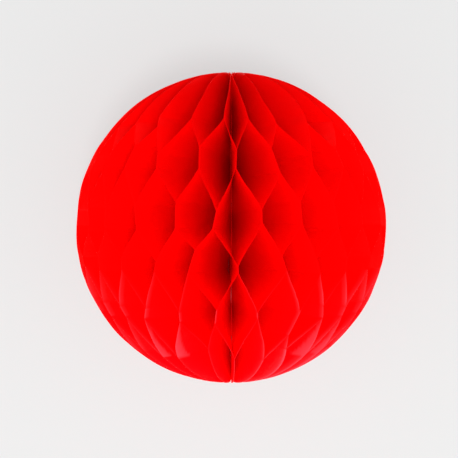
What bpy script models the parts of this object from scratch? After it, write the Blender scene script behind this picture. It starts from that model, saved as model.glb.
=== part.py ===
"""Paper honeycomb ball, 127 mm (5 in) across, shown fully open.

A stack of half-disc tissue leaves is bound along its straight edge by a
thread. Neighbouring leaves are glued to each other in narrow rows that run
square to the thread, and the rows of one interface sit half way between the
rows of the next, so the opened stack becomes a ball of lozenge cells. A card
half-disc closes each end of the stack; when the ball is open the two cards
stand back to back and are held by a double-sided adhesive strip.

Units are metres. +Z runs along the spine, the origin is the centre of the
ball, and the seam where the two cards meet lies in the +Y half-plane. Angles
around the spine are measured from +Y towards -X.
"""

import math

import bmesh
import bpy

MM = 0.001

# Ball
BALL_R = 127.0 * MM / 2
LEAF_COUNT = 52
LEAF_ANGLE = 2.0 * math.pi / LEAF_COUNT
CORE_R = 4.0 * MM  # the leaves start this far from the axis
CORE_R_END_LEAF = 8.6 * MM  # the leaf next to a card starts further out
LEAF_END_Z = 63.2 * MM
LEAF_MIN_DEPTH = 1.2 * MM  # from inner edge to rim, kept up near the poles

# Tissue leaves and their glue rows
LEAF_T = 0.15 * MM
LEAF_GAP = 0.30 * MM  # free space across a glued interface
ROW_PITCH = 18.9 * MM  # from one row to the next, which is on the other interface
ROW_WIDTH = 5.0 * MM
TOP_ROW_Z = 43.9 * MM
ROW_COUNT = 7  # the last row lies below the ball; the leaves only lean towards it
ROW_HEIGHTS = [TOP_ROW_Z - ROW_PITCH * k for k in range(ROW_COUNT)]

# Heights at which a leaf is cut near the poles, besides those set by the rows
POLE_LEVELS = [
    z * MM for z in (62.2, 60.1, 57.4, 54.3, 50.6, -57.0, -60.0, -62.2)
]
ROW_EDGE_MARGIN = 2.0 * MM  # row edges nearer than this to a leaf's end are not cut
MIDWAY_MARGIN = 10.0 * MM  # the same for the cuts half way between rows

# Cover cards
CARD_T = 0.30 * MM
CARD_R = 62.6 * MM
CARD_INNER_Y = 6.5 * MM  # from the axis to the straight edge
CARD_CORNER_R = 3.0 * MM
CARD_SEAM_GAP = 0.15 * MM  # from the seam plane to the card's back
CARD_LEAF_GAP = 0.25 * MM
CARD_ARC_STEPS = 30
CARD_CORNER_STEPS = 4

# Adhesive strip between the cards
STRIP_T = 0.10 * MM
STRIP_W = 10.0 * MM
STRIP_L = 76.0 * MM
STRIP_INNER_Y = 38.0 * MM
STRIP_CORNER_R = 1.5 * MM
STRIP_CORNER_STEPS = 3

# Thread and cord; a radius is measured to the middle of a flat of the outline
CORD_SIDES = 8
CORD_SHARP_ANGLE = math.radians(50)

# Binding thread
THREAD_R = 0.28 * MM
THREAD_X = -0.7 * MM
THREAD_Y = -1.5 * MM
THREAD_TOP = 62.4 * MM
THREAD_BOTTOM = -62.5 * MM
THREAD_WAVE_X = 0.35 * MM
THREAD_WAVE_Y = 0.4 * THREAD_WAVE_X
THREAD_WAVE_Y_RATE = 1.5  # waves in Y for each wave in X
THREAD_STEPS = 44

# Knot under the ball
KNOT_X = -0.95 * MM
KNOT_Z = -63.35 * MM
KNOT_R = 0.62 * MM
KNOT_HALF_H = 0.50 * MM
KNOT_LOBES = 3
KNOT_LOBE_DEPTH = 0.06  # share of the radius
KNOT_SEGMENTS = 14
KNOT_RINGS = 9

# Hanging loop, stowed in the hollow core
LOOP_CORD_R = 0.35 * MM
LOOP_HALF_W = 1.30 * MM  # from the middle of the loop to the centre of the cord
LOOP_Y = 1.30 * MM
LOOP_TOP = 63.3 * MM  # height of the flat on top of the loop
LOOP_LEN = 72.0 * MM
LOOP_FLAT = 1.2 * MM  # length of the flat on top
LOOP_BEND_STEPS = 6


def clear_scene():
    for ob in list(bpy.data.objects):
        bpy.data.objects.remove(ob, do_unlink=True)


def make_material(name, colour, roughness):
    material = bpy.data.materials.new(name)
    material.use_nodes = True
    shader = material.node_tree.nodes["Principled BSDF"]
    shader.inputs["Base Color"].default_value = (*colour, 1.0)
    shader.inputs["Roughness"].default_value = roughness
    material.diffuse_color = (*colour, 1.0)
    return material


def mesh_from(name, verts, tris):
    """A closed mesh with all of its faces turned outwards."""
    build = bmesh.new()
    corners = [build.verts.new(v) for v in verts]
    for tri in tris:
        build.faces.new([corners[i] for i in tri])
    bmesh.ops.recalc_face_normals(build, faces=build.faces)
    mesh = bpy.data.meshes.new(name)
    build.to_mesh(mesh)
    build.free()
    return mesh


def place(name, mesh, material, angle=0.0, location=(0.0, 0.0, 0.0)):
    """Put a mesh in the scene; leaves share meshes, so the material is added only once."""
    ob = bpy.data.objects.new(name, mesh)
    bpy.context.scene.collection.objects.link(ob)
    ob.location = location
    ob.rotation_euler = (0.0, 0.0, angle)
    if not mesh.materials:
        mesh.materials.append(material)


# Tissue leaves


def touch_side(z, odd_leaf):
    """-1..+1: the neighbour a leaf touches at height z (+1 the next leaf, -1 the one before).

    The leaf keeps to one side across a row and crosses over between rows.
    Above the top row it stays on that row's side up to the pole.
    """
    side = 1.0 if odd_leaf else -1.0
    for upper, lower in zip(ROW_HEIGHTS, ROW_HEIGHTS[1:]):
        cross_top = upper - ROW_WIDTH / 2
        cross_bottom = lower + ROW_WIDTH / 2
        if z >= cross_top:
            return side
        if z > cross_bottom:
            crossed = (cross_top - z) / (cross_top - cross_bottom)
            return side - 2 * side * crossed
        side = -side
    return side


def leaf_levels():
    """Heights at which a leaf is cut, from the top down.

    They are its ends, the pole levels, both edges of each row and half way between rows.
    """
    levels = {LEAF_END_Z, -LEAF_END_Z, *POLE_LEVELS}
    for row_z in ROW_HEIGHTS:
        for edge in (row_z + ROW_WIDTH / 2, row_z - ROW_WIDTH / 2):
            if abs(edge) < LEAF_END_Z - ROW_EDGE_MARGIN:
                levels.add(edge)
    for upper, lower in zip(ROW_HEIGHTS, ROW_HEIGHTS[1:]):
        midway = (upper + lower) / 2
        if abs(midway) < LEAF_END_Z - MIDWAY_MARGIN:
            levels.add(midway)
    return sorted(levels, reverse=True)


def leaf_mesh(name, odd_leaf, extra_before=0.0, extra_after=0.0, core_r=CORE_R):
    """One zigzag tissue leaf as a closed thin body.

    In the leaf's own frame +Y runs outwards and -X towards the next leaf.
    extra_before and extra_after keep the leaf further from the interface
    before it and after it, for the leaves that lie against a card.
    """
    clearance = LEAF_GAP / 2 + LEAF_T / 2
    levels = leaf_levels()
    sides = [touch_side(z, odd_leaf) for z in levels]

    # Four vertices per level: inner edge next side, inner edge other side, then the rim's two
    verts = []
    for z, side in zip(levels, sides):
        rim = math.sqrt(BALL_R * BALL_R - z * z)
        for radius in (min(core_r, rim - LEAF_MIN_DEPTH), rim):
            half_cell = radius * math.sin(LEAF_ANGLE / 2)
            after = max(half_cell - clearance - extra_after, -half_cell)
            before = max(half_cell - clearance - extra_before, -half_cell)
            across = (after - before) / 2 + side * (after + before) / 2
            out = math.sqrt(max(radius * radius - across * across, 0.0))
            verts.append((-(across + LEAF_T / 2), out, z))
            verts.append((-(across - LEAF_T / 2), out, z))

    tris = []
    for i in range(len(levels) - 1):
        a, b = 4 * i, 4 * (i + 1)
        # The diagonal of the two broad faces follows the way the leaf leans
        if sides[i] > sides[i + 1]:
            tris += [(a, a + 2, b), (a + 2, b + 2, b)]
            tris += [(a + 1, b + 1, a + 3), (a + 3, b + 1, b + 3)]
        else:
            tris += [(a, a + 2, b + 2), (a, b + 2, b)]
            tris += [(a + 1, b + 3, a + 3), (a + 1, b + 1, b + 3)]
        tris += [(a + 2, a + 3, b + 3), (a + 2, b + 3, b + 2)]
        tris += [(a, b, b + 1), (a, b + 1, a + 1)]
    end = 4 * (len(levels) - 1)
    tris += [(0, 1, 3), (0, 3, 2)]
    tris += [(end, end + 3, end + 1), (end, end + 2, end + 3)]
    return mesh_from(name, verts, tris)


def add_leaves(material):
    """All leaves; at the rows where an even leaf meets the next one, the end leaves meet the cards."""
    card_extra = CARD_SEAM_GAP + CARD_T + CARD_LEAF_GAP - LEAF_GAP / 2
    even = leaf_mesh("leaf_even", odd_leaf=False)
    odd = leaf_mesh("leaf_odd", odd_leaf=True)
    first = leaf_mesh(
        "leaf_first", odd_leaf=True, extra_before=card_extra, core_r=CORE_R_END_LEAF
    )
    last = leaf_mesh(
        "leaf_last", odd_leaf=False, extra_after=card_extra, core_r=CORE_R_END_LEAF
    )
    meshes = [odd, even] * (LEAF_COUNT // 2)
    meshes[0] = first
    meshes[-1] = last
    for number, mesh in enumerate(meshes, start=1):
        place(f"tissue_sheet_{number:02d}", mesh, material, angle=(number - 0.5) * LEAF_ANGLE)


# Cards and adhesive strip


def plate_mesh(name, outline, near, far):
    """A flat plate from (outwards, up) points; near and far are its two faces along -X."""
    count = len(outline)
    centre_y = sum(y for y, _ in outline) / count
    centre_z = sum(z for _, z in outline) / count
    verts = [(-near, y, z) for y, z in outline] + [(-far, y, z) for y, z in outline]
    verts += [(-near, centre_y, centre_z), (-far, centre_y, centre_z)]
    tris = []
    for i in range(count):
        j = (i + 1) % count
        tris += [(i, j, 2 * count), (count + j, count + i, 2 * count + 1)]
        tris += [(i, count + i, count + j), (i, count + j, j)]
    return mesh_from(name, verts, tris)


def card_outline():
    """Half-disc with its two corners on the spine rounded, from the top of the arc down."""
    corner_y = CARD_INNER_Y + CARD_CORNER_R
    arc_top = math.sqrt(CARD_R**2 - corner_y**2)
    arc_half = math.atan2(arc_top, corner_y)
    arc = []
    for i in range(CARD_ARC_STEPS + 1):
        angle = arc_half - 2 * arc_half * i / CARD_ARC_STEPS
        arc.append((CARD_R * math.cos(angle), CARD_R * math.sin(angle)))
    lower_corner = []
    for i in range(1, CARD_CORNER_STEPS + 1):
        angle = math.pi / 2 * i / CARD_CORNER_STEPS
        y = CARD_INNER_Y + CARD_CORNER_R * (1 - math.sin(angle))
        z = -arc_top + CARD_CORNER_R * (1 - math.cos(angle))
        lower_corner.append((y, z))
    upper_corner = [(y, -z) for y, z in reversed(lower_corner)]
    return arc + lower_corner + upper_corner


def add_cards(material):
    outline = card_outline()
    back = CARD_SEAM_GAP
    front = back + CARD_T
    for name, near, far in (("cover_board_a", back, front), ("cover_board_b", -front, -back)):
        place(name, plate_mesh(name, outline, near, far), material)


def add_strip(material):
    """Upright rectangle with rounded corners, centred on the seam plane."""
    inner = STRIP_INNER_Y + STRIP_CORNER_R
    outer = STRIP_INNER_Y + STRIP_W - STRIP_CORNER_R
    top = STRIP_L / 2 - STRIP_CORNER_R
    outline = []
    for quarter, (y, z) in enumerate(((outer, top), (inner, top), (inner, -top), (outer, -top))):
        for i in range(STRIP_CORNER_STEPS + 1):
            angle = math.pi / 2 * (quarter + i / STRIP_CORNER_STEPS)
            outline.append(
                (y + STRIP_CORNER_R * math.cos(angle), z + STRIP_CORNER_R * math.sin(angle))
            )
    mesh = plate_mesh("adhesive_strip", outline, -STRIP_T / 2, STRIP_T / 2)
    place("adhesive_strip", mesh, material)


# Thread, loop and knot


def cord_mesh(name, centres, frames, radius, closed):
    """A cord along a line of centres; each frame is the two directions that span its section."""
    corner_r = radius / math.cos(math.pi / CORD_SIDES)
    verts = []
    for centre, (across, along) in zip(centres, frames):
        for k in range(CORD_SIDES):
            angle = 2 * math.pi * (k + 0.5) / CORD_SIDES
            u = corner_r * math.cos(angle)
            v = corner_r * math.sin(angle)
            verts.append(tuple(centre[i] + u * across[i] + v * along[i] for i in range(3)))

    count = len(centres)
    tris = []
    for i in range(count if closed else count - 1):
        a, b = CORD_SIDES * i, CORD_SIDES * ((i + 1) % count)
        for k in range(CORD_SIDES):
            m = (k + 1) % CORD_SIDES
            tris += [(a + k, a + m, b + m), (a + k, b + m, b + k)]
    if not closed:
        end = CORD_SIDES * (count - 1)
        for k in range(1, CORD_SIDES - 1):
            tris += [(0, k + 1, k), (end, end + k, end + k + 1)]

    mesh = mesh_from(name, verts, tris)
    mesh.shade_smooth()
    mesh.set_sharp_from_angle(angle=CORD_SHARP_ANGLE)
    return mesh


def add_thread(material):
    """The binding thread: a slightly wavy cord, one wave for every two glue rows."""
    centres = []
    for i in range(THREAD_STEPS + 1):
        z = THREAD_BOTTOM + (THREAD_TOP - THREAD_BOTTOM) * i / THREAD_STEPS
        phase = 2 * math.pi * z / (2 * ROW_PITCH)
        x = THREAD_X + THREAD_WAVE_X * math.sin(phase)
        y = THREAD_Y + THREAD_WAVE_Y * math.cos(THREAD_WAVE_Y_RATE * phase)
        centres.append((x, y, z))
    frames = [((1.0, 0.0, 0.0), (0.0, 1.0, 0.0))] * len(centres)
    mesh = cord_mesh("spine_thread", centres, frames, THREAD_R, closed=False)
    place("spine_thread", mesh, material)


def add_loop(material):
    """A long closed loop of cord with a short flat at each end; its origin is on the top flat."""
    bend_r = LOOP_HALF_W - LOOP_FLAT / 2
    side = LOOP_FLAT / 2
    upper = -LOOP_CORD_R - bend_r
    lower = -LOOP_LEN + LOOP_CORD_R + bend_r
    bends = ((side, upper), (-side, upper), (-side, lower), (side, lower))
    centres, frames = [], []
    for quarter, (x, z) in enumerate(bends):
        for i in range(LOOP_BEND_STEPS + 1):
            angle = math.pi / 2 * (quarter + i / LOOP_BEND_STEPS)
            out_x, out_z = math.cos(angle), math.sin(angle)
            centres.append((x + bend_r * out_x, 0.0, z + bend_r * out_z))
            frames.append(((out_x, 0.0, out_z), (0.0, 1.0, 0.0)))
    mesh = cord_mesh("hanging_loop", centres, frames, LOOP_CORD_R, closed=True)
    place("hanging_loop", mesh, material, location=(0.0, LOOP_Y, LOOP_TOP))


def add_knot(material):
    """A small, slightly flattened and lobed knot."""
    build = bmesh.new()
    bmesh.ops.create_uvsphere(
        build, u_segments=KNOT_SEGMENTS, v_segments=KNOT_RINGS, radius=1.0
    )
    for vert in build.verts:
        x, y, z = vert.co
        wave = math.cos(KNOT_LOBES * math.atan2(y, x))
        radius = KNOT_R * (1.0 + KNOT_LOBE_DEPTH * wave * (1 - z * z))
        vert.co = (x * radius, y * radius, z * KNOT_HALF_H)
    bmesh.ops.triangulate(build, faces=build.faces)
    mesh = bpy.data.meshes.new("binding_knot")
    build.to_mesh(mesh)
    build.free()
    mesh.shade_smooth()
    place("binding_knot", mesh, material, location=(KNOT_X, THREAD_Y, KNOT_Z))


def main():
    clear_scene()
    add_leaves(make_material("red_tissue", colour=(0.80, 0.012, 0.016), roughness=0.62))
    add_cards(make_material("red_card", colour=(0.58, 0.012, 0.016), roughness=0.70))
    add_strip(make_material("adhesive_film", colour=(0.86, 0.84, 0.78), roughness=0.35))
    add_thread(make_material("white_thread", colour=(0.88, 0.82, 0.80), roughness=0.85))
    add_loop(make_material("red_cord", colour=(0.62, 0.02, 0.03), roughness=0.85))
    add_knot(make_material("red_thread_knot", colour=(0.62, 0.02, 0.03), roughness=0.85))


main()
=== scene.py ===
"""A honeycomb ball of red tissue leaves, opened into a full fan round an upright spine.

The ball is centred on the origin with its spine along z. Angles round the spine start at
the seam on +y and grow towards -x; the front, at 180 degrees, faces -y and the camera.
Leaf j lies between interfaces j - 1 and j; interfaces 0 and LEAVES meet at the seam,
where the two cover cards are.
"""
import math
import random
from bisect import bisect_right
from collections import namedtuple

import bmesh
import bpy
import numpy as np
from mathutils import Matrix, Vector


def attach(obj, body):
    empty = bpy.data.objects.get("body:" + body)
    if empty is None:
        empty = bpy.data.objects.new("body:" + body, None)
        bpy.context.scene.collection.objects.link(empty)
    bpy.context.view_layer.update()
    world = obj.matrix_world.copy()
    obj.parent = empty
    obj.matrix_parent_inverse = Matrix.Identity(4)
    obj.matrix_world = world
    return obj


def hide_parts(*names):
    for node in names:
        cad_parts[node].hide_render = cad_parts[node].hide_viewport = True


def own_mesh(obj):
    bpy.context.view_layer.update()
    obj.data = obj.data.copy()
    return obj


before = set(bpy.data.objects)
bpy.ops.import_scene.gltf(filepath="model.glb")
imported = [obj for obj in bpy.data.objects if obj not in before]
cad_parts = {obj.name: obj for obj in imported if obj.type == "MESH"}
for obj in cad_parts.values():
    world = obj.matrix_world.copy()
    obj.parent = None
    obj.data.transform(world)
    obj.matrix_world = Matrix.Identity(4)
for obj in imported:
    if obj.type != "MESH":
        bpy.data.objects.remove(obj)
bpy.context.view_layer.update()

MM = 0.001
BALL_RADIUS = 63.5 * MM
LEAVES = 52
PITCH = 360.0 / LEAVES  # degrees from one interface between leaves to the next
FRONT = LEAVES // 2  # the interface that faces -y

# ---------------------------------------------------------------- glue rows
# Row: height and half length (mm) of the pinch at the rim, from top to bottom.
# Even rows join the even interfaces, odd rows the odd ones.
ROWS = {
    1: (42.0, 2.2), 2: (25.4, 3.6), 3: (3.8, 3.9),
    4: (-13.6, 2.4), 5: (-31.4, 2.4), 6: (-56.2, 8.0),
}
LAST_ROW = max(ROWS)
LAST_ROW_END = -64.0
# Row 0 carries the odd interfaces on from row 1 up to the pole, between these heights (mm)
TOP_ROW = (60.0, 50.5)

# Glue spots that sit unevenly. (interface counted from the front, row):
# angle (degrees from the front) and height (mm) of the upper end, then of the lower end
UNEVEN_SPOTS = {
    (-3, 0): (-17.0, 60.0, -17.3, 49.0),
    (-1, 0): (-2.6, 60.0, -3.3, 52.0),
    (1, 0): (-1.4, 60.0, 1.6, 52.6),
    (3, 0): (12.0, 60.0, 13.4, 47.8),

    (-5, 1): (-35.2, 41.0, -33.5, 37.0),
    (-3, 1): (-18.3, 43.7, -19.0, 39.6),
    (-1, 1): (-4.9, 43.4, -5.2, 39.4),
    (1, 1): (4.3, 43.0, 4.9, 39.4),
    (3, 1): (16.0, 40.5, 16.5, 37.3),
    (5, 1): (32.7, 42.0, 31.5, 38.6),

    (-4, 2): (-29.2, 26.2, -28.5, 21.1),
    (-2, 2): (-13.6, 28.6, -13.0, 20.8),
    (0, 2): (-0.2, 27.6, -0.5, 20.7),
    (2, 2): (12.4, 28.1, 14.4, 19.4),
    (4, 2): (27.7, 26.0, 27.1, 21.9),

    (-3, 3): (-20.0, 8.6, -20.1, -0.3),
    (-1, 3): (-6.8, 5.7, -7.9, -0.3),
    (1, 3): (7.6, 6.2, 7.6, 1.8),
    (3, 3): (20.6, 8.8, 20.9, 1.2),

    (-2, 4): (-13.6, -7.9, -16.3, -16.0),
    (0, 4): (0.1, -13.6, 0.2, -15.9),
    (2, 4): (14.3, -10.0, 16.4, -15.3),
    (4, 4): (26.7, -10.9, 29.1, -16.7),

    (-5, 5): (-35.6, -29.4, -38.2, -33.6),
    (-3, 5): (-21.6, -30.3, -22.2, -34.0),
    (-1, 5): (-7.4, -29.2, -8.4, -34.5),
    (1, 5): (7.5, -30.2, 7.9, -32.7),
    (3, 5): (24.3, -30.5, 22.5, -39.3),
    (5, 5): (34.2, -28.7, 36.4, -33.4),

    (-4, 6): (-31.6, -48.4, -32.4, -64.0),
    (-2, 6): (-12.9, -44.4, -13.4, -64.0),
    (0, 6): (-0.4, -48.8, 0.2, -64.0),
    (2, 6): (15.4, -49.5, 15.9, -64.0),
    (4, 6): (25.0, -45.2, 33.0, -58.0),
    (6, 6): (41.8, -48.6, 42.4, -64.0),
}

# Painted highlight, pale pink, on a leaf's free rim where light from below catches it: leaf
# counted from the front -> (below row 4, below row 5)
RIM_HIGHLIGHT = {
    -6: (0.1, 0.9), -5: (0.5, 0.2), -4: (0.1, 0.75), -3: (0.22, 0.10),
    -2: (0.0, 0.12), -1: (0.0, 0.18), 0: (0.30, 0.30), 1: (0.12, 0.75),
    2: (0.70, 0.75), 3: (0.0, 0.80), 4: (1.0, 0.85), 5: (0.1, 1.3),
}

# Leaves with a painted sheen, pale pink, on the free flap below row 5:
# leaf counted from the front -> width of the sheen (mm) at its lower end
FLAP_SHEEN = {-6: 4.5, -4: 8.0, 5: 7.5, 7: 4.0}
FLAP_END = -49.5  # height (mm) where the sheen stops

# side is 1 where the leaf is glued at interface j, -1 at interface j - 1
Spot = namedtuple("Spot", "top_angle top low_angle low side")


# ---------------------------------------------------------------- number helpers
def fade(value, start, end):
    """0 at start, 1 at end and beyond, straight in between."""
    return min(1.0, max(0.0, (value - start) / (end - start)))


def smooth(x):
    return x * x * (3 - 2 * x)


def blend(a, b, share):
    return a + (b - a) * share


def fixed_noise(*key):
    """A fixed value in -1..1 for a key of whole numbers."""
    mixed = 2166136261
    for part in key:
        mixed = ((mixed ^ (int(part) + 4096)) * 16777619) & 0xFFFFFFFF
        mixed ^= mixed >> 13
    return random.Random(mixed).uniform(-1, 1)


def direction(degrees):
    """Unit vector from the spine outwards."""
    a = math.radians(degrees)
    return np.array([-math.sin(a), math.cos(a), 0.0])


def tangent(degrees):
    """Unit vector round the spine, towards growing angles."""
    a = math.radians(degrees)
    return np.array([-math.cos(a), -math.sin(a), 0.0])


# ---------------------------------------------------------------- glue spots
def glue_spot(interface, row):
    """Angle (degrees) and height (mm) of a spot's upper end, then of its lower end."""
    uneven = UNEVEN_SPOTS.get((interface - FRONT, row))
    if uneven:
        top_angle, top, low_angle, low = uneven
        return top_angle + 180.0, top, low_angle + 180.0, low
    middle = interface * PITCH
    tilt = 0.0
    if interface not in (0, LEAVES):
        middle += fixed_noise(interface, row, 1)
        tilt = 0.8 * fixed_noise(interface, row, 4)
    if row == 0:
        # the pairs lean a little towards the pole
        return middle + 1.5 * tilt, TOP_ROW[0], middle, TOP_ROW[1]
    height, half = ROWS[row]
    height += 0.6 * fixed_noise(interface, row, 2)
    half *= 1 + 0.22 * fixed_noise(interface, row, 3)
    low = LAST_ROW_END if row == LAST_ROW else height - half
    return middle - tilt, height + half, middle + tilt, low


def leaf_spots(j):
    """The glue spots of leaf j, from top to bottom."""
    spots = []
    for row in range(LAST_ROW + 1):
        joins_even = row % 2 == 0 and row > 0
        interface = j if (j % 2 == 0) == joins_even else j - 1
        side = 1.0 if interface == j else -1.0
        spots.append(Spot(*glue_spot(interface, row), side))
    return spots


# ---------------------------------------------------------------- shader helpers
# sockets of a colour Mix node
MIX_FACTOR, MIX_A, MIX_B, MIX_RESULT = 0, 6, 7, 2


def add_node(tree, kind, inputs=None, **settings):
    """A new node; each input is given a value, or linked if it is given a socket."""
    made = tree.nodes.new("ShaderNode" + kind)
    for key, value in settings.items():
        setattr(made, key, value)
    for key, value in (inputs or {}).items():
        if isinstance(value, bpy.types.NodeSocket):
            tree.links.new(value, made.inputs[key])
        else:
            made.inputs[key].default_value = value
    return made


def new_material(name):
    """A material with only an output; returns it, its tree and its Surface socket."""
    material = bpy.data.materials.new(name)
    material.use_nodes = True
    tree = material.node_tree
    tree.nodes.clear()
    return material, tree, add_node(tree, "OutputMaterial").inputs["Surface"]


def object_place(tree):
    return add_node(tree, "TexCoord").outputs["Object"]


def noise_texture(tree, place, **values):
    return add_node(tree, "TexNoise", {"Vector": place, **values}).outputs["Fac"]


def colour_ramp(tree, factor, stops, colours):
    made = add_node(tree, "ValToRGB", {"Fac": factor})
    for element, stop, colour in zip(made.color_ramp.elements, stops, colours):
        element.position = stop
        element.color = (*colour, 1)
    return made.outputs["Color"]


def map_range(tree, value, source, target=(0.0, 1.0)):
    return add_node(tree, "MapRange", {
        "Value": value,
        "From Min": source[0], "From Max": source[1],
        "To Min": target[0], "To Max": target[1],
    }).outputs["Result"]


def height_of(tree, place):
    return add_node(tree, "SeparateXYZ", {0: place}).outputs["Z"]


def bump(tree, height, strength, distance, **more):
    inputs = {"Height": height, "Strength": strength, "Distance": distance, **more}
    return add_node(tree, "Bump", inputs).outputs["Normal"]


def mix_colour(tree, factor, a, b, **settings):
    inputs = {MIX_FACTOR: factor, MIX_A: a, MIX_B: b}
    return add_node(tree, "Mix", inputs, data_type="RGBA", **settings).outputs[MIX_RESULT]


def mix_shader(tree, factor, a, b):
    return add_node(tree, "MixShader", {0: factor, 1: a, 2: b}).outputs["Shader"]


def add_shader(tree, a, b):
    return add_node(tree, "AddShader", {0: a, 1: b}).outputs["Shader"]


def attribute(tree, name):
    return add_node(tree, "Attribute", attribute_name=name).outputs["Fac"]


# ---------------------------------------------------------------- materials
def tissue_material(name, dark, light, gloss, glow):
    """Thin translucent tissue; reads two point attributes: the painted highlight on rims and
    flaps, and lit, the strength of a painted glow.
    """
    material, tree, surface = new_material(name)
    place = object_place(tree)
    # broad shade change from leaf to leaf and across a leaf
    shade = noise_texture(tree, place, Scale=45.0, Detail=3.0)
    fibre = noise_texture(tree, place, Scale=2600.0, Detail=4.0, Roughness=0.65)
    colour = colour_ramp(tree, shade, stops=(0.30, 0.72), colours=(dark, light))
    fibre_shade = map_range(tree, fibre, source=(0.3, 0.7), target=(0.95, 1.0))
    colour = mix_colour(tree, 1.0, colour, fibre_shade, blend_type="MULTIPLY")
    # painted sheen: low down the tissue is tinted a little rosier, as if white light from below
    # glanced off it
    low = map_range(tree, height_of(tree, place), source=(-0.018, -0.062))
    colour = mix_colour(tree, low, colour, (1.0, 0.0009, 0.0085, 1))
    # painted highlight and sheen: pale pink along free rims and on some flaps
    colour = mix_colour(tree, attribute(tree, "painted_highlight"), colour, (1.0, 0.105, 0.155, 1))

    # crepe-like crinkle that runs up the leaf, plus fibre
    stretched = add_node(tree, "Mapping", {"Vector": place, "Scale": (1.0, 1.0, 0.35)})
    crinkle = noise_texture(tree, stretched.outputs["Vector"], Scale=420.0, Detail=3.0)
    normal = bump(tree, crinkle, strength=0.35, distance=0.0004)
    normal = bump(tree, fibre, strength=0.25, distance=0.00008, Normal=normal)

    coat = add_node(tree, "BsdfPrincipled", {
        "Base Color": colour,
        "Roughness": 0.46,
        "IOR": 1.33,
        "Specular IOR Level": gloss,
        "Normal": normal,
    })
    through = add_node(tree, "BsdfTranslucent", {"Color": colour, "Normal": normal})
    paper = mix_shader(tree, 0.42, coat.outputs["BSDF"], through.outputs["BSDF"])
    # painted glow: an emission, scaled by the lit attribute, stands in for light that has passed
    # through many layers and leaves the tissue as plain red
    strength = add_node(
        tree, "Math", {0: attribute(tree, "lit"), 1: glow}, operation="MULTIPLY"
    ).outputs["Value"]
    painted_glow = add_node(
        tree, "Emission", {"Color": (1.0, 0.0004, 0.0006, 1), "Strength": strength}
    ).outputs["Emission"]
    tree.links.new(add_shader(tree, paper, painted_glow), surface)
    material.cycles.emission_sampling = "NONE"
    return material


def grained_material(name, grain, stops, colours, strength, distance, coat, tone=None):
    """An opaque material: grain gives the bump, and the colour too unless tone is given."""
    material, tree, surface = new_material(name)
    place = object_place(tree)
    relief = noise_texture(tree, place, **grain)
    tones = noise_texture(tree, place, **tone) if tone else relief
    shader = add_node(tree, "BsdfPrincipled", {
        "Base Color": colour_ramp(tree, tones, stops, colours),
        "Normal": bump(tree, relief, strength, distance),
        **coat,
    })
    tree.links.new(shader.outputs["BSDF"], surface)
    return material


def card_material():
    return grained_material(
        "red_cover_card",
        grain={"Scale": 900.0, "Detail": 5.0},
        tone={"Scale": 60.0},
        stops=(0.3, 0.75),
        colours=((0.50, 0.006, 0.008), (0.66, 0.014, 0.016)),
        strength=0.3,
        distance=0.00006,
        coat={"Roughness": 0.62, "Specular IOR Level": 0.3},
    )


def film_material():
    return grained_material(
        "adhesive_film",
        grain={"Scale": 700.0},
        stops=(0.0, 1.0),
        colours=((0.72, 0.68, 0.58), (0.88, 0.86, 0.80)),
        strength=0.2,
        distance=0.00005,
        coat={"Roughness": 0.3},
    )


def thread_material(name, dark, light):
    return grained_material(
        name,
        grain={"Scale": 3500.0, "Detail": 3.0},
        stops=(0.3, 0.7),
        colours=(dark, light),
        strength=0.5,
        distance=0.00005,
        coat={"Roughness": 0.75, "Sheen Weight": 0.05},
    )


# ---------------------------------------------------------------- object helpers
def link_object(name, mesh, material):
    mesh.materials.append(material)
    made = bpy.data.objects.new(name, mesh)
    bpy.context.scene.collection.objects.link(made)
    return made


def smooth_object(name, verts, faces, material):
    mesh = bpy.data.meshes.new(name)
    mesh.from_pydata([tuple(v) for v in verts], [], faces)
    mesh.update()
    mesh.shade_smooth()
    return link_object(name, mesh, material)


def assign(made, body, piece):
    """Say which body an object moves with, which CAD piece it replaces."""
    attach(made, body)
    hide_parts(piece)


# ---------------------------------------------------------------- tissue leaves
THICKNESS = 0.09 * MM
HALF_GLUE = 0.02 * MM  # half of the free space at a glue spot
CORE = 2.6  # mm from the spine to where most leaves start
CARD_ROOM = 0.40 * MM  # how far the end leaves stand off the seam beside their cards
BEND = 0.20  # how rounded the leaf's bends are at the rim, 0 sharp to 1 soft
CORE_BEND = 0.9  # the same at the spine
POLE = 63.4  # mm, where the leaves have parted again at both poles
LOW_PARTING = -61.6  # mm, where they start to part at the lower pole
LEAF_TOP = 63.35  # mm, half height of a leaf
HEIGHT_STEPS = 120
POLE_ANGLES = (0.0, 1.5, 3, 4.5, 6, 7.5, 9)  # degrees from a pole, for extra heights
CLOSEST_HEIGHTS = 0.12  # mm
# Columns of a leaf from the core to the rim, closer together near the rim
COLUMNS = [0.0, 0.07, 0.15, 0.24, 0.33, 0.43, 0.53, 0.63, 0.73, 0.82, 0.90, 0.955, 0.985, 1.0]
SHEEN_COLUMNS = [0.78, 0.845, 0.87, 0.925, 0.94]  # added where the flap has a sheen


def profile(z, spots, bend, middle):
    """Angle in degrees and side (-1..1) of a leaf at height z (mm)."""
    first = spots[0]
    if z >= first.top:
        # the leaves part again right at the pole
        parting = 0.8 * (z - first.top) / (POLE - first.top)
        return blend(first.top_angle, middle, parting), first.side * (1 - parting)
    for n, spot in enumerate(spots):
        if z >= spot.low:
            share = (spot.top - z) / (spot.top - spot.low)
            angle = blend(spot.top_angle, spot.low_angle, share)
            if z < LOW_PARTING:
                parting = 0.6 * (LOW_PARTING - z) / (POLE + LOW_PARTING)
                return blend(angle, middle, parting), spot.side * (1 - parting)
            return angle, spot.side
        if n + 1 < len(spots) and z > spots[n + 1].top:
            below = spots[n + 1]
            u = (spot.low - z) / (spot.low - below.top)
            share = (1 - bend) * u + bend * (0.5 - 0.5 * math.cos(math.pi * u))
            angle = blend(spot.low_angle, below.top_angle, share)
            return angle, blend(spot.side, below.side, share)
    return spots[-1].low_angle, spots[-1].side


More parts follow.
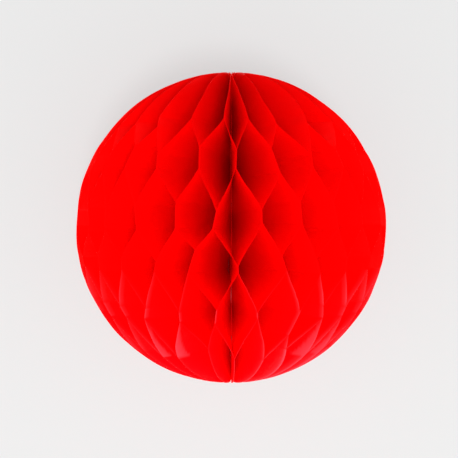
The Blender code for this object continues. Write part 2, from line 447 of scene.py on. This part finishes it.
def inner_edge(j, z):
    """How far from the axis leaf j starts at height z (mm), in metres."""
    from_front = j - FRONT
    top = fade(z, 55.0, 57.5)
    low = fade(z, -55.0, -57.5)
    r = CORE
    if -9 < from_front < 10:
        r -= 1.3 * top
    # all leaves but those beside the knot come closer in at the bottom
    if not -9 < from_front < 1:
        r -= 1.3 * low
    if j in (1, FRONT):
        r = blend(r, 0.3, low)
    if j == FRONT - 1:
        r = blend(r, 1.1, low * fade(z, -63.05, -62.9))
    # two leaves on the +x side close the spine between the poles
    if j in (39, 40):
        start = 1.5 if j == 40 else -1.1 + 0.8 * fade(z, -36.0, -38.0)
        r = blend(r, start, fade(abs(z), 62.5, 62.0))
    return r * MM


def leaf_heights(spots):
    """Heights in mm from top to bottom, with extra ones at glue spots and poles."""
    heights = [LEAF_TOP * v for v in np.linspace(-1, 1, HEIGHT_STEPS + 1)]
    ends = [LEAF_TOP * math.cos(math.radians(a)) for a in POLE_ANGLES]
    heights += ends + [-end for end in ends]
    for spot in spots:
        heights += [spot.top, spot.low]
    heights = sorted(z for z in heights if abs(z) <= LEAF_TOP + 0.0001)
    kept = heights[:1]
    for z in heights[1:]:
        if z - kept[-1] > CLOSEST_HEIGHTS:
            kept.append(z)
    return kept[::-1]


def rim_highlight_level(j, z, spots):
    """How strong the painted highlight, pale pink, is on the free rim of leaf j at height z
    (mm).
    """
    from_front = j - FRONT - 1
    for above in (4, 5):
        top, low = spots[above].low, spots[above + 1].top
        if low <= z <= top:
            if from_front in RIM_HIGHLIGHT:
                painted_highlight = RIM_HIGHLIGHT[from_front][above - 4]
            else:
                painted_highlight = 0.85 if from_front > 5 else 0.45
                painted_highlight += 0.25 * fixed_noise(j, above + 1, 7)
            # strongest just above the lower row, fading in from the upper one
            u = (top - z) / (top - low)
            return 0.6 * painted_highlight * min(1.0, 0.25 + 1.1 * u) * min(1.0, 0.4 + 5.0 * (1.0 - u))
    if z < spots[-1].top:
        if from_front < 0:
            return 0.08
        return 0.65 if from_front > 1 else 0.40
    if -40.0 < z < -28.0:
        return 0.35
    return 0.0


def place_in_cell(z, spots, side):
    """Where z (mm) lies in the cell on one side of a leaf: 0 at its top, 1 at its bottom."""
    top, low = 63.5, -66.0
    for spot in spots:
        if spot.side != side:
            continue
        if spot.top >= z >= spot.low:
            return 0.3
        if spot.low > z:
            top = spot.low
        elif spot.top < z:
            low = max(low, spot.top)
    return (top - z) / (top - low)


def cell_light(z, spots, side):
    """Painted glow deep in a cell, standing in for light carried in: more low down on the ball
    and in the cell's lower part.
    """
    u = place_in_cell(z, spots, side)
    level = z * MM / BALL_RADIUS
    floor = smooth(fade(u, 0.55, 0.92)) * (1.0 - 0.9 * fade(z, -47.0, -56.0))
    roof = 0.30 + 0.70 * smooth(fade(u, 0.08, 0.50))
    down = 1.0 - 0.45 * level + 0.4 * max(0.0, -level - 0.4)
    return 0.060 * down * roof * (1.0 + (4.8 - 4.4 * level) * floor)


def flap_sheen(z, inside, width, top):
    """Strength of the painted sheen that widens from height top (mm) down to FLAP_END."""
    u = (top - z) / (top - FLAP_END)
    reach = width * u
    edge = fade(inside, reach, reach - 0.7)
    return (0.45 + 0.35 * u) * edge * (1.0 - 0.55 * inside / max(reach, 1e-6))


def leaf_surface(j, heights, columns, spots, sheen):
    """Points of leaf j's middle surface, their painted highlight and the painted glow on both
    faces.

    The ahead face looks towards interface j, the behind face towards j - 1."""
    middle = (j - 0.5) * PITCH
    rng = random.Random(9000 + j)
    phase = [rng.uniform(0, 2 * math.pi) for _ in range(8)]
    trim = 0.25 * rng.uniform(-1, 0.6)
    points, painted_highlight, ahead, behind = [], [], [], []
    for z in heights:
        rim_angle, side = profile(z, spots, BEND, middle)
        # towards the spine the bends round off
        core_angle, _ = profile(z, spots, CORE_BEND, middle)
        rim = math.sqrt(max(BALL_RADIUS ** 2 - (z * MM) ** 2, (2.0 * MM) ** 2))
        ripple = trim + 0.10 * math.sin(z * 0.35 + phase[0])
        rim += ripple * MM * min(1.0, rim / (20 * MM))
        start = min(inner_edge(j, z), rim - 0.8 * MM)
        rim_highlight = rim_highlight_level(j, z, spots)
        # painted highlight: on the +x side a faint wider band joins it towards the lower pole
        glance = 0.45 * fade(z, -38.0, -50.0) if j > FRONT + 1 else 0.0
        deep_ahead = cell_light(z, spots, 1.0)
        deep_behind = cell_light(z, spots, -1.0)
        # painted glow: the front cell is bright just below the upper pole
        front_light = 0.45 * fade(z, 49.0, 56.0)
        if j == FRONT:
            deep_ahead += front_light
        if j == FRONT + 1:
            deep_behind += front_light
        # painted shade: the painted glow near the rim is weaker round the upper pole, as if less
        # light came through there
        rim_light = 0.45 * (1.0 - 0.65 * fade(z, 38.0, 52.0))
        for across in columns:
            r = start + (rim - start) * across
            # the leaf leaves the even fan a little faster towards the rim
            share = 0.55 + 0.45 * across
            # the end leaves lie on their cards all the way in
            if j in (1, LEAVES):
                share += (1.0 - share) * max(0.0, -side if j == 1 else side)
            bent = across ** 1.5
            angle = rim_angle * bent + core_angle * (1 - bent)
            angle = blend(middle, angle, share)
            # soft waves that die out at the glue spots and at the spine
            wave = (
                0.30 * math.sin(z * 0.45 + phase[1]) * math.sin(across * 4.0 + phase[2])
                + 0.16 * math.sin(z * 1.1 + phase[3]) * math.sin(across * 9.0 + phase[4])
            ) * MM * (1.0 - abs(side)) * min(1.0, r / (25 * MM)) * 0.6
            offset = wave - side * (THICKNESS / 2 + HALF_GLUE)
            beside_card = fade(r / MM, 5.0, 6.2)
            if j == 1:
                offset += CARD_ROOM * max(0.0, -side) * beside_card
            if j == LEAVES:
                offset -= CARD_ROOM * max(0.0, side) * beside_card
            flat = direction(angle) * r + tangent(angle) * offset
            points.append((flat[0], flat[1], z * MM))

            inside = (rim - r) / MM
            # painted glow, strongest at the rim and fading over 23 mm inwards
            glowing = rim_light * max(0.0, 1.0 - inside / 23.0) ** 1.6
            ahead.append(deep_ahead + glowing)
            behind.append(deep_behind + glowing)
            narrow, wide = max(0.0, 1.0 - inside / 1.3), max(0.0, 1.0 - inside / 4.5)
            band = rim_highlight * (narrow + glance * wide)
            if sheen and FLAP_END < z < spots[5].low:
                band = max(band, flap_sheen(z, inside, sheen, spots[5].low))
            painted_highlight.append(band)
    return np.array(points), painted_highlight, ahead, behind


def leaf_faces(rows, columns):
    """Faces of a thick sheet whose second side follows the first, and the rim's face numbers."""
    other = rows * columns
    faces, rim_faces = [], []
    for row in range(rows - 1):
        for column in range(columns - 1):
            v = row * columns + column
            below = v + columns
            faces.append((v, below, below + 1, v + 1))
            faces.append((other + v, other + v + 1, other + below + 1, other + below))
        v = row * columns
        faces.append((v, other + v, other + v + columns, v + columns))
        v += columns - 1
        rim_faces.append(len(faces))
        faces.append((v, v + columns, other + v + columns, other + v))
    for v in range(columns - 1):
        faces.append((v, v + 1, other + v + 1, other + v))
        v += (rows - 1) * columns
        faces.append((v, other + v, other + v + 1, v + 1))
    return faces, rim_faces


def build_leaf(j, material, edge_material):
    spots = leaf_spots(j)
    heights = leaf_heights(spots)
    sheen = FLAP_SHEEN.get(j - FRONT - 1, 0.0)
    columns = sorted(COLUMNS + SHEEN_COLUMNS) if sheen else COLUMNS
    points, painted_highlight, ahead, behind = leaf_surface(j, heights, columns, spots, sheen)
    # thickness: half to each side along the leaf's tangent
    across = tangent((j - 0.5) * PITCH)
    verts = np.vstack([points + across * (THICKNESS / 2), points - across * (THICKNESS / 2)])
    faces, rim_faces = leaf_faces(len(heights), len(columns))
    made = smooth_object(f"leaf_{j:02d}_tissue", verts, faces, material)
    mesh = made.data
    mesh.materials.append(edge_material)
    for face in rim_faces:
        mesh.polygons[face].material_index = 1
    bm = bmesh.new()
    bm.from_mesh(mesh)
    bmesh.ops.recalc_face_normals(bm, faces=bm.faces)
    bm.to_mesh(mesh)
    bm.free()
    for key, values in (("painted_highlight", painted_highlight + painted_highlight), ("lit", ahead + behind)):
        layer = mesh.attributes.new(key, "FLOAT", "POINT")
        layer.data.foreach_set("value", np.array(values, dtype=np.float32))
    mesh.set_sharp_from_angle(angle=math.radians(50))
    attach(made, f"leaf_{j:02d}")
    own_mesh(made)
    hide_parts(f"tissue_sheet_{j:02d}")


# ---------------------------------------------------------------- cover cards and film
def build_plate(name, outline, near, far, material, body, piece, bevel=0):
    """A flat plate in the seam plane, near..far its reach along -x.

    The outline holds (y, z) in metres."""
    bm = bmesh.new()
    face = bm.faces.new([bm.verts.new((-near, y, z)) for y, z in outline])
    extruded = bmesh.ops.extrude_face_region(bm, geom=[face])
    for part in extruded["geom"]:
        if isinstance(part, bmesh.types.BMVert):
            part.co.x = -far
    bmesh.ops.recalc_face_normals(bm, faces=bm.faces)
    mesh = bpy.data.meshes.new(name)
    bm.to_mesh(mesh)
    bm.free()
    made = link_object(name, mesh, material)
    mesh.shade_smooth()
    mesh.set_sharp_from_angle(angle=math.radians(35))
    if bevel:
        rounding = made.modifiers.new("edge", "BEVEL")
        rounding.width = bevel
        rounding.segments = 2
        rounding.limit_method = "ANGLE"
        rounding.angle_limit = math.radians(50)
    assign(made, body, piece)
    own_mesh(made)


def card_outline():
    """A half disc with a straight inner edge and two rounded corners."""
    radius, inner, corner = 62.6 * MM, 6.5 * MM, 3.0 * MM
    top = math.sqrt(radius * radius - (inner + corner) ** 2)
    end = math.atan2(top, inner + corner)
    angles = [end - 2 * end * i / 120 for i in range(121)]
    outline = [(radius * math.cos(a), radius * math.sin(a)) for a in angles]
    for i in range(1, 13):
        a = math.pi / 2 * i / 12
        y = inner + corner * (1 - math.sin(a))
        outline.append((y, -top + corner * (1 - math.cos(a))))
    for i in range(12):
        a = math.pi / 2 * i / 12
        y = inner + corner * (1 - math.cos(a))
        outline.append((y, top - corner * (1 - math.sin(a))))
    return outline


def strip_outline():
    """An upright rectangle with rounded corners."""
    inner, outer, half_height, corner = 38.0 * MM, 48.0 * MM, 38.0 * MM, 1.5 * MM
    y0, y1, z1 = inner + corner, outer - corner, half_height - corner
    outline = []
    for y, z, start in ((y1, z1, 0.0), (y0, z1, 90.0), (y0, -z1, 180.0), (y1, -z1, 270.0)):
        for i in range(9):
            a = math.radians(start + 90.0 * i / 8)
            outline.append((y + corner * math.cos(a), z + corner * math.sin(a)))
    return outline


def build_plates(card, film):
    near, far = 0.06 * MM, 0.36 * MM  # faces of a card, from the seam plane
    for letter, low, high in (("a", near, far), ("b", -far, -near)):
        build_plate(f"cover_card_{letter}", card_outline(), low, high, card, f"cover_{letter}",
                    f"cover_board_{letter}", bevel=0.05 * MM)
    build_plate("adhesive_film_strip", strip_outline(), -0.05 * MM, 0.05 * MM, film,
                "cover_a", "adhesive_strip")


# ---------------------------------------------------------------- cords
STRANDS = 3


def carried_frames(points, closed):
    """Two cross directions at each point of a path, carried along without twist."""
    last = len(points) - 1
    frames = []
    side = None
    for i, point in enumerate(points):
        before = points[i - 1] if closed or i > 0 else point
        after = points[(i + 1) % len(points)] if closed or i < last else point
        along = (after - before).normalized()
        if side is None:
            side = Vector((0, 1, 0)) if abs(along.y) < 0.9 else Vector((1, 0, 0))
        side = (side - along * side.dot(along)).normalized()
        frames.append((side, along.cross(side)))
    return frames


def tube(points, radius, sides, closed):
    """Verts and faces of a tube along a path of vectors."""
    verts, faces = [], []
    count = len(points)
    for point, (u, w) in zip(points, carried_frames(points, closed)):
        for k in range(sides):
            a = 2 * math.pi * k / sides
            verts.append(point + (u * math.cos(a) + w * math.sin(a)) * radius)
    for i in range(count if closed else count - 1):
        here, there = i * sides, ((i + 1) % count) * sides
        for k in range(sides):
            m = (k + 1) % sides
            faces.append((here + k, here + m, there + m, there + k))
    if not closed:
        faces.append(tuple(range(sides))[::-1])
        faces.append(tuple((count - 1) * sides + k for k in range(sides)))
    return verts, faces


def even_points(path, steps, total, reached, closed):
    """Points at even distances along a path; reached holds the length up to each point."""
    points = []
    for i in range(steps if closed else steps + 1):
        s = total * i / steps
        s = s % total if closed else min(max(s, 0.0), total - 1e-12)
        low = min(bisect_right(reached, s) - 1, len(reached) - 2)
        share = (s - reached[low]) / max(reached[low + 1] - reached[low], 1e-12)
        points.append(path[low].lerp(path[(low + 1) % len(path)], share))
    return points


def plied_cord(name, path, strand_radius, helix_radius, pitch, material, closed,
               per_turn, sides):
    """A twisted cord: strands wound round a path of points."""
    path = [Vector(p) for p in path]
    count = len(path)
    reached = [0.0]
    for i in range(count if closed else count - 1):
        reached.append(reached[-1] + (path[(i + 1) % count] - path[i]).length)
    total = reached[-1]
    turns = max(1, round(total / pitch))
    steps = turns * per_turn
    centres = even_points(path, steps, total, reached, closed)
    frames = carried_frames(centres, closed)
    verts, faces = [], []
    for strand in range(STRANDS):
        line = []
        for i, (centre, (u, w)) in enumerate(zip(centres, frames)):
            a = 2 * math.pi * (i * turns / steps + strand / STRANDS)
            line.append(centre + (u * math.cos(a) + w * math.sin(a)) * helix_radius)
        base = len(verts)
        strand_verts, strand_faces = tube(line, strand_radius, sides, closed)
        verts += strand_verts
        faces += [tuple(base + v for v in face) for face in strand_faces]
    return smooth_object(name, verts, faces, material)


def spine_path():
    """The slack binding thread, from the lower pole to the upper one."""
    # height, half reach, x, x gained per mm of height, y (mm) where it hangs out
    hangs = ((-15.6, 5.5, -1.50, 0.10, -8.6), (-27.6, 4.6, -0.36, 0.05, -7.0))
    path = []
    for i in range(401):
        z = -62.5 + 124.9 * i / 400
        turn = 2 * math.pi * z
        x = -0.7 + 0.34 * math.sin(turn / 37.8) + 0.10 * math.sin(turn / 8.3 + 1.0)
        y = -1.5 + 0.14 * math.cos(1.5 * turn / 37.8) + 0.08 * math.sin(turn / 6.1)
        # towards the poles it runs closer to the axis
        low, top = fade(z, -41.0, -47.0), fade(z, 48.0, 55.0)
        x += (0.45 - x) * low + (-0.45 - x) * top
        y += (-0.90 - y) * low + (-0.75 - y) * top
        # it hangs out a little between the leaves at two heights
        for height, half, out_x, slope, out_y in hangs:
            share = max(0.0, 1.0 - ((z - height) / half) ** 2) ** 1.5
            x = blend(x, out_x + slope * (z - height), share)
            y = blend(y, out_y, share)
        path.append((x * MM, y * MM, z * MM))
    return path


def build_spine_thread(material):
    made = plied_cord(
        "spine_thread_plied", spine_path(), strand_radius=0.135 * MM, helix_radius=0.135 * MM,
        pitch=1.5 * MM, material=material, closed=False, per_turn=10, sides=6,
    )
    assign(made, "cover_a", "spine_thread")


def build_knot(material):
    """A small overhand knot at the lower pole."""
    centre_x, centre_y, centre_z = -0.95, -1.5, -63.40
    size, rise = 0.135, 0.20
    points = []
    for i in range(90):
        t = 2 * math.pi * i / 90
        x = centre_x + size * (math.sin(t) + 2 * math.sin(2 * t))
        y = centre_y + size * (math.cos(t) - 2 * math.cos(2 * t))
        z = centre_z - rise * math.sin(3 * t)
        points.append(Vector((x * MM, y * MM, z * MM)))
    verts, faces = tube(points, radius=0.21 * MM, sides=10, closed=True)
    made = smooth_object("binding_knot_tied", verts, faces, material)
    assign(made, "cover_a", "binding_knot")


def loop_path():
    """Two upright runs joined by half circles, from the +x end of the top one."""
    loop_top, length, inset = 63.3, 72.0, 0.35  # mm; inset is from the ends to the path
    half_width, behind, sway = 0.95, 1.3, 0.05
    top = loop_top - inset - half_width  # centres of the half circles
    low = loop_top - length + inset + half_width
    path = []
    for side, start, end in ((-1, top, low), (1, low, top)):
        for i in range(25):
            a = math.radians(90 * (1 + side) + 180 * i / 24)
            x, z = half_width * math.cos(a), start + half_width * math.sin(a)
            path.append((x * MM, behind * MM, z * MM))
        for i in range(1, 60):
            y = behind - side * sway * math.sin(i * 0.6)
            path.append((side * half_width * MM, y * MM, blend(start, end, i / 60) * MM))
    return path


def build_hanging_loop(material):
    made = plied_cord(
        "hanging_loop_cord", loop_path(), strand_radius=0.18 * MM, helix_radius=0.17 * MM,
        pitch=1.9 * MM, material=material, closed=True, per_turn=12, sides=8,
    )
    assign(made, "loop", "hanging_loop")


# ---------------------------------------------------------------- set
TENT = 1.04  # brightness of the light tent round the ball
TABLE_HALF = 6.0
AZIMUTH = -2.1  # camera angle round the spine, degrees
CAMERA_DISTANCE = 6.0 * BALL_RADIUS


def table_material():
    material, tree, surface = new_material("pale_table_paper")
    # a pale sheet that is mostly evenly lit, so the ball only leaves a faint shade on it
    height = height_of(tree, object_place(tree))
    # painted shade: the sheet's own glow is a little weaker towards the top than at the bottom,
    # as if lit from below
    shade = map_range(tree, height, source=(-0.10, 0.10), target=(0.500, 0.472))
    paper = add_node(tree, "BsdfDiffuse", {"Color": (0.260, 0.262, 0.262, 1)})
    glow = add_node(tree, "Emission", {"Color": (0.985, 1.0, 1.0, 1), "Strength": shade})
    seen = add_shader(tree, paper.outputs["BSDF"], glow.outputs["Emission"])
    # towards the ball the sheet is as bright as the rest of the light tent
    tent = add_node(tree, "Emission", {"Strength": TENT}).outputs["Emission"]
    camera_ray = add_node(tree, "LightPath").outputs["Is Camera Ray"]
    front = mix_shader(tree, camera_ray, tent, seen)
    # from behind it is clear
    clear = add_node(tree, "BsdfTransparent").outputs["BSDF"]
    backfacing = add_node(tree, "NewGeometry").outputs["Backfacing"]
    tree.links.new(mix_shader(tree, backfacing, front, clear), surface)
    material.cycles.emission_sampling = "NONE"
    return material


def build_table():
    """An upright sheet that touches the ball from behind and faces the camera."""
    half = TABLE_HALF
    mesh = bpy.data.meshes.new("pale_table")
    corners = [(x, BALL_RADIUS, z) for x, z in
               ((-half, -half), (-half, half), (half, half), (half, -half))]
    mesh.from_pydata(corners, [], [(0, 3, 2, 1)])
    mesh.update()
    link_object("pale_table", mesh, table_material())


def build_world():
    world = bpy.data.worlds.new("studio")
    bpy.context.scene.world = world
    world.use_nodes = True
    tree = world.node_tree
    background = tree.nodes["Background"]
    background.inputs["Color"].default_value = (1.0, 0.993, 0.988, 1)
    camera_ray = add_node(tree, "LightPath").outputs["Is Camera Ray"]
    # more light comes from below than from above
    height = height_of(tree, add_node(tree, "TexCoord").outputs["Generated"])
    light = map_range(tree, height, source=(-1.0, 1.0), target=(TENT * 1.68, TENT * 0.33))
    # seen directly the surroundings are a plain pale grey, whatever light they give
    strength = map_range(tree, camera_ray, source=(0.0, 1.0), target=(light, 0.82))
    tree.links.new(strength, background.inputs["Strength"])


def build_sun():
    """A soft window light that shines from the camera's side, a little upwards."""
    sun = bpy.data.lights.new("window", "SUN")
    sun.energy = 1.30
    sun.angle = math.radians(13)
    made = bpy.data.objects.new("window", sun)
    bpy.context.scene.collection.objects.link(made)
    heading = Vector((-0.02, 0.96, 0.27))
    made.rotation_euler = heading.to_track_quat("-Z", "Y").to_euler()


def build_camera():
    camera = bpy.data.cameras.new("camera")
    made = bpy.data.objects.new("camera", camera)
    bpy.context.scene.collection.objects.link(made)
    a = math.radians(AZIMUTH)
    made.location = (math.sin(a) * CAMERA_DISTANCE, -math.cos(a) * CAMERA_DISTANCE, 0)
    made.rotation_euler = (-Vector(made.location)).to_track_quat("-Z", "Y").to_euler()
    camera.sensor_width = 36.0
    camera.lens = 72.26401035
    camera.shift_x = -0.00506550218
    camera.shift_y = -0.00320960699
    camera.clip_start = 0.01
    camera.clip_end = 20
    bpy.context.scene.camera = made


def set_render():
    scene = bpy.context.scene
    scene.view_settings.view_transform = "Standard"
    scene.view_settings.look = "None"
    # red light bounces many times between the leaves before it is lost
    scene.cycles.max_bounces = 20
    scene.cycles.diffuse_bounces = 14
    scene.cycles.transmission_bounces = 14


# ---------------------------------------------------------------- build
tissue = tissue_material("red_tissue_paper", dark=(0.97, 0.0004, 0.0006),
                         light=(1.0, 0.0008, 0.0010), gloss=0.10, glow=0.10)
# the cut edge takes a little more painted glow than the faces
cut_edge = tissue_material("red_tissue_cut_edge", dark=(0.99, 0.0008, 0.0012),
                           light=(1.0, 0.0016, 0.0024), gloss=0.04, glow=0.13)
card = card_material()
film = film_material()
# painted shade and red bounce light: the white spine thread is coloured dark pinkish red, as it
# looks deep in the cells
shaded_white_thread = thread_material("white_thread", (0.46, 0.040, 0.055), (0.70, 0.085, 0.105))
cord = thread_material("red_cord", (0.42, 0.006, 0.010), (0.74, 0.02, 0.03))
dyed = thread_material("red_thread_knot", (0.42, 0.006, 0.010), (0.72, 0.02, 0.03))

for leaf_number in range(1, LEAVES + 1):
    build_leaf(leaf_number, tissue, cut_edge)
build_plates(card, film)
build_spine_thread(shaded_white_thread)
build_knot(dyed)
build_hanging_loop(cord)

build_table()
build_world()
build_sun()
build_camera()
set_render()
